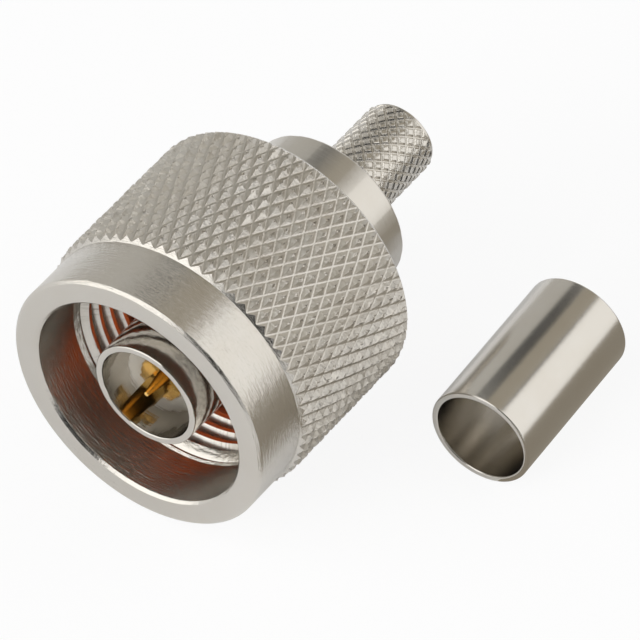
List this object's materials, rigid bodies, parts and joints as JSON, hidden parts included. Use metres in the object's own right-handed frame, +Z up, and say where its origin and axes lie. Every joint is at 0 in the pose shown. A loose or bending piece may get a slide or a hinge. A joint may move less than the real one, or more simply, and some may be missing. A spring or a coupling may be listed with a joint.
{
  "type": "coaxial cable plug",
  "caption": "N series crimp plug for coaxial cable: knurled coupling nut that turns on the body, pin contact in a slotless sleeve, knurled crimp tail, and its loose crimp ferrule.",
  "frame": {"origin": "centre of the outer contact's front rim, which is the mating plane", "axes": "+Y along the plug from the mating face to the cable tail, +Z up with the plug lying on its nut, +X to the side where the loose ferrule lies"},
  "size_m": [0.0308, 0.0304, 0.0208],
  "materials": {
    "nickel_nut": "turned brass, nickel plated, fine turning lines on the band",
    "nickel_body": "turned brass, nickel plated, bright",
    "nickel_ferrule": "drawn soft brass tube, nickel plated, bright outside and dull inside",
    "phosphor_bronze": "spring bronze",
    "gold": "gold plated brass, polished",
    "ptfe": "white fluoroplastic, faintly waxy",
    "silicone": "orange-red silicone rubber"
  },
  "bodies": {
    "plug": {"plug_body": "nickel_body", "snap_ring": "phosphor_bronze", "gasket": "silicone", "front_insulator": "ptfe", "rear_insulator": "ptfe", "center_contact": "gold", "crimp_ferrule": "nickel_ferrule"},
    "nut": {"coupling_nut": "nickel_nut"}
  },
  "joints": [
    {"name": "nut_turn", "type": "hinge", "parent": "plug", "child": "nut", "pos_m": [0, 0, 0], "axis": [0, 1, 0], "continuous": true}
  ]
}
